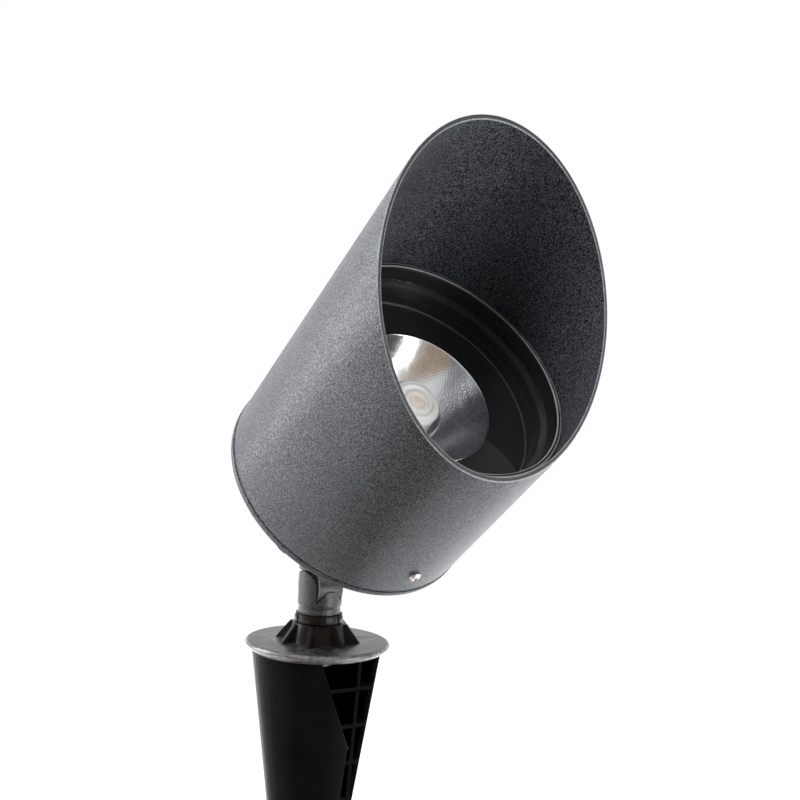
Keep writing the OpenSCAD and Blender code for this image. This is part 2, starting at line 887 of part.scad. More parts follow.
// LED package: square base with its round light source
module led_emitter() {
    color("#e8b64a")
        in_head() {
            translate([-led_side / 2, -led_side / 2, led_back])
                cube([led_side, led_side, led_t * led_base]);
            translate([0, 0, led_back])
                cylinder(r = led_round_r, h = led_t);
        }
}

module led_screws() {
    head_back = board_back + board_t + seat;
    color("#b8b9bb")
        in_head()
            for (side = [-1, 1])
                translate([side * led_screw_pcr, 0, 0]) {
                    translate([0, 0, led_face - led_screw_depth])
                        cylinder(r = led_screw_r, h = head_back + led_head_root - led_face + led_screw_depth);
                    translate([0, 0, head_back])
                        cylinder(r = led_screw_r + led_head_out, h = led_head_h);
                }
}

// Collar that stands on the LED board and carries the centre optic
module optic_holder() {
    tube_back = led_back + led_t * led_base + seat;
    color("#c9cacc")
        in_head()
            rotate_extrude()
                polygon([
                    [led_round_r + led_clear, tube_back],
                    [holder_flange_r, tube_back],
                    [holder_flange_r, foot_s - seat],
                    [holder_r, foot_s - seat],
                    [holder_r, optic_front - holder_step - holder_edge],
                    [holder_r - holder_edge, optic_front - holder_step],
                    [holder_bore, optic_front - holder_step],
                    [holder_bore, optic_front - optic_edge_h - seat],
                    [led_round_r + led_clear, foot_s]
                ]);
}

// Centre lens with stepped rings on its face
module optic() {
    color("#f2efe6")
        in_head()
            rotate_extrude()
                polygon([
                    [0, optic_front - optic_edge_h - optic_back_h],
                    [optic_r * 0.72, optic_front - optic_edge_h - optic_waist_h],
                    [optic_r, optic_front - optic_edge_h],
                    [optic_r, optic_front - 2 * optic_step],
                    [optic_r * 0.93, optic_front - optic_step],
                    [optic_r * 0.8, optic_front - optic_step],
                    [optic_r * 0.77, optic_front],
                    [optic_r * 0.64, optic_front],
                    [optic_r * 0.61, optic_front - optic_step],
                    [optic_r * 0.45, optic_front - optic_step],
                    [optic_r * 0.42, optic_front],
                    [0, optic_front]
                ]);
}

// Radius of the reflector's parabola at a share t of its height
function bowl_r(t) = sqrt(reflector_foot_r * reflector_foot_r
    + t * (reflector_r * reflector_r - reflector_foot_r * reflector_foot_r));

// One ring of points round the bowl, turned half a facet on every second row
function bowl_ring(row, grow) = [
    for (i = [0 : reflector_cols - 1])
        let (a = (i + (row % 2) / 2) * 360 / reflector_cols)
        let (r = bowl_r(row / reflector_rows) + grow)
        [r * cos(a), r * sin(a), foot_s + reflector_h * row / reflector_rows]
];

// Two triangles of facets between a ring and the next, leaning left and right by turns
function bowl_faces(row, base, flip) = [
    for (i = [0 : reflector_cols - 1])
        let (j = (i + 1) % reflector_cols)
        let (a = base + row * reflector_cols)
        let (b = a + reflector_cols)
        let (odd = row % 2)
        for (f = odd == 0
            ? [[a + i, a + j, b + i], [a + j, b + j, b + i]]
            : [[a + i, b + j, b + i], [a + i, a + j, b + j]])
        flip ? [f[2], f[1], f[0]] : f
];

// Faceted bowl: staggered rings of flat facets inside and outside
module reflector_bowl() {
    ring_points = reflector_cols * (reflector_rows + 1);
    inner = [for (row = [0 : reflector_rows]) each bowl_ring(row, 0)];
    outer = [for (row = [0 : reflector_rows]) each bowl_ring(row, reflector_wall)];
    top = reflector_rows * reflector_cols;
    rims = [
        for (i = [0 : reflector_cols - 1])
            let (j = (i + 1) % reflector_cols)
            for (f = [
                [i, ring_points + j, j],
                [i, ring_points + i, ring_points + j],
                [top + i, top + j, ring_points + top + j],
                [top + i, ring_points + top + j, ring_points + top + i]
            ])
            f
    ];
    faces = concat(
        [for (row = [0 : reflector_rows - 1]) each bowl_faces(row, 0, false)],
        [for (row = [0 : reflector_rows - 1]) each bowl_faces(row, ring_points, true)],
        rims
    );
    polyhedron(points = concat(inner, outer), faces = faces);
}

module reflector() {
    color("#d5d6d8")
        in_head()
            reflector_bowl();
}

// Black cup between the reflector's mouth and the glass
module baffle_cup() {
    mouth = bowl_r(1 - cup_floor_drop / reflector_h) + reflector_wall + cup_mouth_gap;
    top_r = optics_bore - seat;
    top_s = gasket_back - seat;
    color("#1b1b1d")
        in_head()
            rotate_extrude()
                polygon([
                    [mouth, cup_floor_s - cup_wall],
                    [cup_floor_r + cup_wall, cup_floor_s - cup_wall],
                    [top_r, top_s],
                    [top_r - cup_wall, top_s],
                    [cup_floor_r, cup_floor_s],
                    [mouth, cup_floor_s]
                ]);
}

module lens_gasket() {
    color("#1f1f21")
        in_head()
            ring(glass_r, optics_bore - 1, gasket_back, glass_back - seat);
}

module lens_glass() {
    color("#b9c4c8", 0.35)
        in_head()
            translate([0, 0, glass_back])
                cylinder(r = glass_r, h = glass_t);
}

// Ring that screws into the housing and clamps the glass
module lens_ring() {
    color("#39393d")
        in_head() {
            ring(ring_r, ring_bore, housing_len + seat, ring_front);
            ring(glass_r, ring_bore, glass_front + seat, housing_len + seat + eps);
        }
}

// Hood: tube with a slant cut mouth and a thick band at its rear
module hood() {
    color("#5f5f64")
        in_head()
            difference() {
                cylinder(r = hood_r, h = hood_long + 1);
                translate([0, 0, -1])
                    cylinder(r = band_bore, h = hood_long + 3);
                translate([0, 0, hood_band_len])
                    cylinder(r = hood_bore, h = hood_long);
                translate([0, 0, rim_mid])
                    rotate([rim_slant, 0, 0])
                        translate([-2 * hood_r, -2 * hood_long, 0])
                            cube([4 * hood_r, 4 * hood_long, 2 * hood_long]);
                translate([0, 0, set_screw_s])
                    rotate([90, 0, 0])
                        cylinder(r = set_screw_r + set_screw_clear, h = 2 * hood_r);
            }
}

// Button head screw that stands on the hood and bears on the housing
module set_screw() {
    len = hood_band_wall + hood_clear / 2;
    bulge = set_screw_head_h - set_screw_edge;
    dome_r = (set_screw_head_r * set_screw_head_r + bulge * bulge) / (2 * bulge);
    color("#c4c5c7")
        in_head()
            translate([0, -hood_r, set_screw_s])
                rotate([-90, 0, 0])
                    difference() {
                        union() {
                            translate([0, 0, -seat - eps])
                                cylinder(r = set_screw_r, h = len + seat + eps);
                            intersection() {
                                translate([0, 0, -seat - set_screw_head_h])
                                    cylinder(r = set_screw_head_r, h = set_screw_head_h);
                                translate([0, 0, dome_r - seat - set_screw_head_h])
                                    sphere(r = dome_r);
                            }
                        }
                        translate([0, 0, -seat - set_screw_head_h - 1])
                            cylinder(r = set_screw_hex_r, h = set_screw_hex_depth + 1, $fn = 6);
                    }
}

ground_stake();
lock_ring();
knuckle_stem();
cable_bushing();
pivot_bolt();
pivot_washers();
knuckle_arm();
arm_screws();
arm_gasket();
rear_cap();
cap_gasket();
cap_screws();
housing();
driver_module();
lead_grommet();
led_leads();
thermal_pad();
led_board();
led_emitter();
led_screws();
optic_holder();
optic();
reflector();
baffle_cup();
lens_gasket();
lens_glass();
lens_ring();
hood();
set_screw();
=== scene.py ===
"""Looks for the outdoor spotlight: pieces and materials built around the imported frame."""
import math

import bmesh
import bpy
from mathutils import Matrix, Vector


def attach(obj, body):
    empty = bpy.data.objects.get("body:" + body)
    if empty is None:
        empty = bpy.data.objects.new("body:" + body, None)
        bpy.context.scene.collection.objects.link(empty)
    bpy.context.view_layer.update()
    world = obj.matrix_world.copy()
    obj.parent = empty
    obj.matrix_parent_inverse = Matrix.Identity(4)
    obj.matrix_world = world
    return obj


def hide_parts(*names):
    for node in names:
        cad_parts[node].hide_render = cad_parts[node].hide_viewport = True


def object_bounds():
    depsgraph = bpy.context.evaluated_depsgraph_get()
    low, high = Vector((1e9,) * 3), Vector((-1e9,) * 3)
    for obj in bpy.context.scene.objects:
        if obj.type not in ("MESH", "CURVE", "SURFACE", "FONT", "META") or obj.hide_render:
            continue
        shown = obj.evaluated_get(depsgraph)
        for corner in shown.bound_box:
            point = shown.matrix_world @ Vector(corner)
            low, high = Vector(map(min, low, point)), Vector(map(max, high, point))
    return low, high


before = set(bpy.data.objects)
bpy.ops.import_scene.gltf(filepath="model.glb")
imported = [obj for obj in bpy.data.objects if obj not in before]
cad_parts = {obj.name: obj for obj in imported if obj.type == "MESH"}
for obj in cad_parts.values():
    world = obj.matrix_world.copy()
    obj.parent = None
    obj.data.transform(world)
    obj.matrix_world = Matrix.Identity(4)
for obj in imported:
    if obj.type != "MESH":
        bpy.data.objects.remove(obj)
cad_low, cad_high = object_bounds()

MM = 0.001
FULL = 2 * math.pi

# Sizes of the part's source, in millimetres; s runs along the beam from the hood's rear edge
PIVOT_Z, PIVOT_BACK, PIVOT_DROP = 35.0, 62.7, 30.4
BEAM_ELEVATION = 40.0
HOOD_R, HOOD_BORE, BAND_BORE = 70.0, 68.0, 65.0
HOOD_LONG, HOOD_SHORT, BAND_LEN = 194.0, 98.0, 24.0
SCREW_S, SCREW_R = 16.0, 2.0
HOUSING_LEN = 93.0
GLASS_R, GLASS_BACK, GLASS_FRONT = 66.0, 84.4, 88.4
RING_R, RING_BORE, RING_FRONT = 67.2, 64.2, 97.3
CUP_MOUTH, CUP_FLOOR_R, CUP_FLOOR_S, CUP_TOP_R, CUP_TOP_S = 35.3, 60.0, 68.6, 62.5, 82.8
CUP_WALL, CUP_STEP = 1.4, 0.9
BOWL_FOOT_R, BOWL_MOUTH_R, BOWL_FOOT_S, BOWL_MOUTH_S = 16.0, 36.3, 48.0, 72.3
OPTIC_R, OPTIC_FRONT, OPTIC_DEPTH = 12.2, 69.5, 9.0

# Details that only the looks have, in millimetres
RIM_CORNER = 0.45
SCREW_PLAY = 0.1
FACET_BULGE = 0.022

# Heights above the stake's origin over which its finish changes, in millimetres; between them the flange's
# colour is painted lighter as sheen
FLANGE_START, HUB_START = (-0.8, 0.4), (4.2, 5.0)

# Edges of a CAD node that turn by more than EDGE_ANGLE are rounded; faces within FLAT_ANGLE become one
EDGE_ANGLE, FLAT_ANGLE = 28.0, 0.5

# From the head's own frame, with its Z axis along the beam, to the shared frame
HEAD = (
    Matrix.Translation((0, 0, PIVOT_Z * MM))
    @ Matrix.Rotation(math.radians(90 - BEAM_ELEVATION), 4, "X")
    @ Matrix.Translation((0, PIVOT_DROP * MM, PIVOT_BACK * MM))
)

WARM_ROOM = (0.50, 0.37, 0.25)
WHITE = (1.0, 1.0, 1.0, 1.0)


def link(name, data):
    """Puts a new object with this data in the scene."""
    obj = bpy.data.objects.new(name, data)
    bpy.context.scene.collection.objects.link(obj)
    return obj


# ---------------------------------------------------------------- camera
def make_camera():
    data = bpy.data.cameras.new("camera")
    data.lens = 50.506
    data.sensor_width = 36.0
    data.clip_start, data.clip_end = 0.01, 50.0
    cam = link("camera", data)
    right = Vector((0.80441, -0.59172, 0.05281))
    up = Vector((-0.03628, 0.03980, 0.99855))
    forward = Vector((0.59297, 0.80516, -0.01055))
    place = Vector((-341.607, -529.713, 148.202)) * MM
    cam.matrix_world = Matrix((
        (right.x, up.x, -forward.x, place.x),
        (right.y, up.y, -forward.y, place.y),
        (right.z, up.z, -forward.z, place.z),
        (0, 0, 0, 1),
    ))
    bpy.context.scene.camera = cam


make_camera()


# ---------------------------------------------------------------- materials
class Nodes:
    """A node tree with short calls for the nodes that the finishes and the world share."""

    def __init__(self, tree):
        self.tree = tree

    def node(self, kind, **settings):
        made = self.tree.nodes.new(kind)
        for key, value in settings.items():
            setattr(made, key, value)
        return made

    def feed(self, value, socket):
        """Joins an output to a socket, or sets a plain value on it."""
        if hasattr(value, "links"):
            self.tree.links.new(value, socket)
        else:
            socket.default_value = value

    def mix(self, fac, a, b, blend="MIX"):
        made = self.node("ShaderNodeMix", data_type="RGBA", blend_type=blend)
        for value, socket in ((fac, made.inputs[0]), (a, made.inputs[6]), (b, made.inputs[7])):
            self.feed(value, socket)
        return made.outputs[2]

    def mix_shaders(self, fac, one, two):
        made = self.node("ShaderNodeMixShader")
        for value, socket in zip((fac, one, two), made.inputs):
            self.feed(value, socket)
        return made.outputs[0]

    def math(self, kind, a, b=0.0):
        made = self.node("ShaderNodeMath", operation=kind)
        self.feed(a, made.inputs[0])
        self.feed(b, made.inputs[1])
        return made.outputs[0]

    def spread(self, fac, low, high):
        """Maps 0..1 to low..high."""
        made = self.node("ShaderNodeMapRange")
        made.inputs["To Min"].default_value = low
        made.inputs["To Max"].default_value = high
        self.feed(fac, made.inputs["Value"])
        return made.outputs["Result"]

    def step(self, value, start, end, low=0.0, high=1.0):
        """Goes smoothly from low to high while the value goes from start to end."""
        made = self.node("ShaderNodeMapRange", interpolation_type="SMOOTHSTEP")
        made.inputs["From Min"].default_value = start
        made.inputs["From Max"].default_value = end
        made.inputs["To Min"].default_value = low
        made.inputs["To Max"].default_value = high
        self.feed(value, made.inputs["Value"])
        return made.outputs["Result"]

    def vector(self, kind, a, b=None):
        """Vector operation; its outputs are returned."""
        made = self.node("ShaderNodeVectorMath", operation=kind)
        self.feed(a, made.inputs[0])
        if b is not None:
            self.feed(b, made.inputs[1])
        return made.outputs


class Shader(Nodes):
    """A material around one principled shader, with its textures in object space."""

    def __init__(self, name, **values):
        self.mat = bpy.data.materials.new(name)
        self.mat.use_nodes = True
        super().__init__(self.mat.node_tree)
        self.bsdf = self.tree.nodes["Principled BSDF"]
        self.surface = self.tree.nodes["Material Output"].inputs["Surface"]
        self.coords = self.node("ShaderNodeTexCoord").outputs["Object"]
        for key, value in values.items():
            self.bsdf.inputs[key.replace("_", " ")].default_value = value

    def noise(self, scale, detail=2.0, roughness=0.5, stretch=None):
        made = self.node("ShaderNodeTexNoise")
        made.inputs["Scale"].default_value = scale
        made.inputs["Detail"].default_value = detail
        made.inputs["Roughness"].default_value = roughness
        source = self.coords
        if stretch:
            mapping = self.node("ShaderNodeMapping")
            mapping.inputs["Scale"].default_value = stretch
            self.feed(self.coords, mapping.inputs["Vector"])
            source = mapping.outputs["Vector"]
        self.feed(source, made.inputs["Vector"])
        return made.outputs["Fac"]

    def cells(self, scale):
        made = self.node("ShaderNodeTexVoronoi")
        made.inputs["Scale"].default_value = scale
        self.feed(self.coords, made.inputs["Vector"])
        return made.outputs

    def axes(self):
        made = self.node("ShaderNodeSeparateXYZ")
        self.feed(self.coords, made.inputs[0])
        return made.outputs

    def ramp(self, fac, *stops):
        made = self.node("ShaderNodeValToRGB")
        points = made.color_ramp.elements
        points[0].position, points[1].position = stops[0][0], stops[-1][0]
        points[0].color, points[1].color = (*stops[0][1], 1), (*stops[-1][1], 1)
        for place, color in stops[1:-1]:
            points.new(place).color = (*color, 1)
        self.feed(fac, made.inputs["Fac"])
        return made.outputs["Color"]

    def bump(self, height, strength, distance_mm):
        made = self.node("ShaderNodeBump")
        made.inputs["Strength"].default_value = strength
        made.inputs["Distance"].default_value = distance_mm * MM
        self.feed(height, made.inputs["Height"])
        self.feed(made.outputs["Normal"], self.bsdf.inputs["Normal"])

    def color(self, out):
        self.feed(out, self.bsdf.inputs["Base Color"])

    def rough(self, out):
        self.feed(out, self.bsdf.inputs["Roughness"])

    def scuffs(self, low, high):
        """Fine upright scuffs that show in the gloss."""
        self.rough(self.spread(self.noise(220, 4.0, 0.65, stretch=(1.0, 1.0, 0.16)), low, high))


def grey(value, blue=0.0):
    return (value, value * (1 + blue * 0.3), value * (1 + blue))


def coat(name, level, grain, contrast, rough, sparkle=0.985, bump=0.35, blue=0.16, clear=0.5, spec=0.12):
    """Textured powder coat: grains of lighter and darker flake over a charcoal ground."""
    sh = Shader(name, Specular_IOR_Level=spec, Coat_Weight=clear, Coat_Roughness=0.34)
    fine = sh.noise(grain, 2.0, 0.6)
    base = sh.ramp(
        fine,
        (0.39, grey(level * (1 - contrast), blue * 1.3)),
        (0.50, grey(level, blue)),
        (0.61, grey(level * (1 + contrast * 1.7), blue * 0.6)),
    )
    clouds = sh.ramp(sh.noise(45, 2.0), (0.3, grey(0.86)), (0.7, grey(1.0)))
    base = sh.mix(1.0, base, clouds, "MULTIPLY")
    flakes = sh.cells(grain * 0.75)
    split = sh.node("ShaderNodeSeparateColor")
    sh.feed(flakes["Color"], split.inputs["Color"])
    near = sh.math("LESS_THAN", flakes["Distance"], 0.36)
    chosen = sh.math("GREATER_THAN", split.outputs["Red"], sparkle)
    sh.color(sh.mix(sh.math("MULTIPLY", near, chosen), base, (*grey(level * 2.6, 0.05), 1)))
    sh.rough(sh.spread(fine, rough - 0.08, rough + 0.1))
    sh.bump(fine, bump, 0.12)
    return sh.mat


def rim_coat(name, level):
    """Smoother, glossier coat on the hood's cut edge; its level is set light on the rounded corners for painted
    highlight lines and dark on the face for painted shade.
    """
    return coat(name, level, 1600.0, 0.4, 0.3, sparkle=0.99, bump=0.1, blue=0.1, clear=1.0)


def moulded(name, color, rough, grain=900.0, bump=0.08, **values):
    """Moulded plastic or rubber: faint grain, cloudy colour and fine scuffs."""
    sh = Shader(name, **values)
    dark = tuple(c * 0.8 for c in color)
    light = tuple(min(1.0, c * 1.18) for c in color)
    sh.color(sh.ramp(sh.noise(38, 3.0), (0.35, dark), (0.65, light)))
    sh.scuffs(rough - 0.07, rough + 0.1)
    sh.bump(sh.noise(grain, 3.0, 0.6), bump, 0.1)
    return sh.mat


def stake_finish(name):
    """Black moulding: a polished flange whose colour is painted lighter as sheen and mottled by noise, and a
    duller finish on the hub and below the soil line.
    """
    sh = Shader(name, Coat_Roughness=0.22, Coat_IOR=1.6)
    body = sh.ramp(sh.noise(38, 3.0), (0.35, (0.003, 0.0027, 0.003)), (0.65, (0.0052, 0.0048, 0.0052)))
    # Painted sheen: the flange lighter than the body, mottled by noise
    flange_painted_sheen = sh.ramp(sh.noise(160, 4.0, 0.7), (0.35, (0.03, 0.03, 0.032)), (0.65, (0.13, 0.13, 0.14)))
    height = sh.axes()["Z"]
    above = sh.step(height, *(z * MM for z in FLANGE_START))
    below_hub = sh.step(height, *(z * MM for z in HUB_START), 1.0, 0.0)
    flange = sh.math("MULTIPLY", above, below_hub)
    sh.color(sh.mix(flange, body, flange_painted_sheen))
    sh.feed(sh.spread(flange, 0.0, 0.9), sh.bsdf.inputs["Coat Weight"])
    sh.feed(sh.spread(above, 0.015, 0.2), sh.bsdf.inputs["Specular IOR Level"])
    sh.scuffs(0.2, 0.36)
    sh.bump(sh.noise(800, 3.0, 0.6), 0.08, 0.1)
    return sh.mat


def metal(name, color, rough, streak=(1.0, 1.0, 0.05), bump=0.04):
    """Bare metal with drawn or turned streaks."""
    sh = Shader(name, Metallic=1.0)
    lines = sh.noise(1600, 3.0, 0.6, stretch=streak)
    sh.color(sh.ramp(lines, (0.3, tuple(c * 0.9 for c in color)), (0.7, color)))
    sh.rough(sh.spread(lines, rough - 0.05, rough + 0.07))
    sh.bump(lines, bump, 0.05)
    return sh.mat


def clear_glass(name):
    """Clear pane that lets the lamps' light through without a shadow."""
    sh = Shader(name, Roughness=0.0, IOR=1.5, Transmission_Weight=1.0)
    sh.color(sh.ramp(sh.noise(30, 1.0), (0.3, (0.97, 0.985, 0.98)), (0.7, (0.99, 1.0, 0.995))))
    through = sh.node("ShaderNodeBsdfTransparent").outputs[0]
    path = sh.node("ShaderNodeLightPath").outputs
    sh.feed(sh.mix_shaders(path["Is Shadow Ray"], sh.bsdf.outputs[0], through), sh.surface)
    return sh.mat


def optic_resin(name):
    """Clear centre lens over the light source: milky rim, warm middle."""
    sh = Shader(
        name, Roughness=0.06, IOR=1.49, Transmission_Weight=0.12, Coat_Weight=0.6, Coat_Roughness=0.03)
    axes = sh.axes()
    squares = sh.math("ADD", sh.math("POWER", axes["X"], 2.0), sh.math("POWER", axes["Y"], 2.0))
    share = sh.math("MULTIPLY", sh.math("SQRT", squares), 1 / (OPTIC_R * MM))
    swirl = sh.math("MULTIPLY", sh.noise(260, 2.0, stretch=(1.0, 1.0, 0.2)), 0.3)
    sh.color(sh.ramp(
        sh.math("ADD", share, swirl),
        (0.12, (0.90, 0.50, 0.18)),
        (0.24, (0.93, 0.74, 0.55)),
        (0.40, (0.95, 0.87, 0.80)),
        (0.80, (0.94, 0.92, 0.91)),
    ))
    return sh.mat


def phosphor(name):
    """Yellow dome of the light source."""
    sh = Shader(name, Roughness=0.3, Coat_Weight=0.8)
    sh.color(sh.ramp(sh.cells(900)["Distance"], (0.1, (0.93, 0.62, 0.10)), (0.8, (0.85, 0.50, 0.07))))
    sh.bump(sh.noise(600), 0.1, 0.05)
    return sh.mat


MATS = {
    "coat": coat("coat", 0.048, 1450.0, 1.0, 0.50, blue=0.3, clear=0.38),
    # Darker copy of the coat for the hood's inside: painted shade
    "coat_inner_painted_shade": coat("coat_inner_painted_shade", 0.034, 1450.0, 1.0, 0.58, blue=0.35, clear=0.0, spec=0.1),
    # The rim's cut face is painted dark as shade, and its rounded corners are painted light as highlight lines
    "coat_rim_painted_shade": rim_coat("coat_rim_painted_shade", 0.02),
    "coat_edge_painted_highlight": rim_coat("coat_edge_painted_highlight", 0.17),
    "coat_knuckle": coat("coat_knuckle", 0.028, 1900.0, 0.9, 0.36, bump=0.3, blue=0.2, clear=0.4, spec=0.2),
    "housing_coat": coat("housing_coat", 0.03, 1500.0, 0.4, 0.5),
    "black_trim": moulded("black_trim", (0.008, 0.008, 0.009), 0.30, 1100.0, 0.05, Specular_IOR_Level=0.25),
    # Light grey for the painted highlight lines on the turned edges of the ring and cup
    "trim_painted_highlight": moulded("trim_painted_highlight", (0.26, 0.26, 0.27), 0.35, 1100.0, 0.05),
    "stake_plastic": stake_finish("stake_plastic"),
    "seal": moulded("seal", (0.012, 0.012, 0.012), 0.62, 700.0, 0.2),
    "washer_plastic": moulded("washer_plastic", (0.62, 0.62, 0.58), 0.45),
    "driver_case": moulded("driver_case", (0.02, 0.02, 0.024), 0.42),
    "lead_sleeve": moulded("lead_sleeve", (0.42, 0.03, 0.02), 0.4),
    "board": moulded("board", (0.78, 0.78, 0.76), 0.28),
    "pad": moulded("pad", (0.30, 0.30, 0.33), 0.7),
    "steel": metal("steel", (0.62, 0.62, 0.63), 0.34),
    "collar": metal("collar", (0.86, 0.86, 0.87), 0.28),
    "reflector_metal": metal("reflector_metal", (0.80, 0.81, 0.84), 0.19, (0.3, 0.3, 0.3), 0.02),
    "front_glass": clear_glass("front_glass"),
    "optic_resin": optic_resin("optic_resin"),
    "phosphor": phosphor("phosphor"),
}


# ---------------------------------------------------------------- mesh helpers
def as_mesh(name, bm):
    mesh = bpy.data.meshes.new(name)
    bm.to_mesh(mesh)
    bm.free()
    return mesh


def smoothed(mesh, angle):
    """Shades a mesh smooth, apart from the edges that turn by more than the angle."""
    mesh.polygons.foreach_set("use_smooth", [True] * len(mesh.polygons))
    mesh.set_sharp_from_angle(angle=math.radians(angle))


def new_object(name, bm, mats, body, place=None, smooth=35.0):
    obj = link(name, as_mesh(name, bm))
    for mat in mats:
        obj.data.materials.append(MATS[mat])
    if place is not None:
        obj.matrix_world = place
    if smooth:
        smoothed(obj.data, smooth)
    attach(obj, body)
    return obj


def bend(start, corner, end, t):
    """Point at t of the curve from start to end that leans to the corner."""
    return start * (1 - t) ** 2 + corner * 2 * t * (1 - t) + end * t ** 2


def rounded(points, steps=3):
    """Closed profile of (r, s, radius) points, each corner rounded by its radius."""
    made = []
    for i, (r, s, radius) in enumerate(points):
        here = Vector((r, s))
        before = Vector(points[i - 1][:2]) - here
        after = Vector(points[(i + 1) % len(points)][:2]) - here
        reach = min(radius, before.length * 0.45, after.length * 0.45)
        if reach < 1e-4:
            made.append(here)
            continue
        start, end = here + before.normalized() * reach, here + after.normalized() * reach
        made += [bend(start, here, end, k / steps) for k in range(steps + 1)]
    return made


def ring_of(bm, r, s, count, turn=0.0):
    """Ring of vertices about the Z axis; r and s are in millimetres, turn is in steps of the ring."""
    return [
        bm.verts.new((
            r * MM * math.cos(FULL * (i + turn) / count),
            r * MM * math.sin(FULL * (i + turn) / count),
            s * MM,
        ))
        for i in range(count)
    ]


def lathe(name, points, mat, count, closed=True, edges=()):
    """Turned piece of the head from (r, s, radius) points.

    Faces within reach of an edge, an (r, s, reach), are lighter: painted highlight lines.
    """
    bm = bmesh.new()
    rings = [
        ring_of(bm, p.x, p.y, count) if p.x > 1e-6 else [bm.verts.new((0, 0, p.y * MM))]
        for p in rounded(points)]
    for one, two in zip(rings, rings[1:] + rings[:1] if closed else rings[1:]):
        for i in range(count):
            j = (i + 1) % count
            corners = [one[i % len(one)], one[j % len(one)], two[j % len(two)], two[i % len(two)]]
            made = bm.faces.new(list(dict.fromkeys(corners)))
            middle = made.calc_center_median() / MM
            at = Vector((middle.xy.length, middle.z))
            if any((at - Vector(edge[:2])).length < edge[2] for edge in edges):
                made.material_index = 1
    bmesh.ops.recalc_face_normals(bm, faces=bm.faces)
    return new_object(name, bm, [mat, "trim_painted_highlight"] if edges else [mat], "head", HEAD)


def bore(obj, radius, length, place):
    """Bores a round hole of radius and length, both ways along the Z axis of place."""
    bm = bmesh.new()
    bmesh.ops.create_cone(
        bm, cap_ends=True, segments=48, radius1=radius * MM, radius2=radius * MM, depth=2 * length * MM)
    tool = link("tool", as_mesh("tool", bm))
    tool.matrix_world = place
    change = obj.modifiers.new("bore", "BOOLEAN")
    change.object = tool
    change.solver = "EXACT"
    bpy.context.view_layer.update()
    result = bpy.data.meshes.new_from_object(obj.evaluated_get(bpy.context.evaluated_depsgraph_get()))
    obj.modifiers.clear()
    obj.data = result
    bpy.data.objects.remove(tool)


def recast(node, body, slot, bevel, inner=True):
    """Copy of a CAD node with its edges rounded, the inner ones too if asked, which stands for the node."""
    bm = bmesh.new()
    bm.from_mesh(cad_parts[node].data)
    bmesh.ops.remove_doubles(bm, verts=bm.verts, dist=1e-6)
    bmesh.ops.dissolve_limit(
        bm, angle_limit=math.radians(FLAT_ANGLE), verts=bm.verts, edges=bm.edges, use_dissolve_boundaries=False)
    limit = math.radians(EDGE_ANGLE)
    edges = [
        e for e in bm.edges
        if len(e.link_faces) == 2 and e.calc_face_angle(0) > limit and (inner or e.is_convex)]
    bmesh.ops.bevel(
        bm, geom=edges, offset=bevel * MM, offset_type="OFFSET", segments=2, profile=0.6,
        affect="EDGES", clamp_overlap=True, miter_outer="ARC")
    obj = new_object(node + "_cast", bm, [slot], body, smooth=32.0)
    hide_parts(node)


def dress(node, mat):
    """Gives a CAD node its finish."""
    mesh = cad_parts[node].data
    mesh.materials.clear()
    mesh.materials.append(MATS[mat])


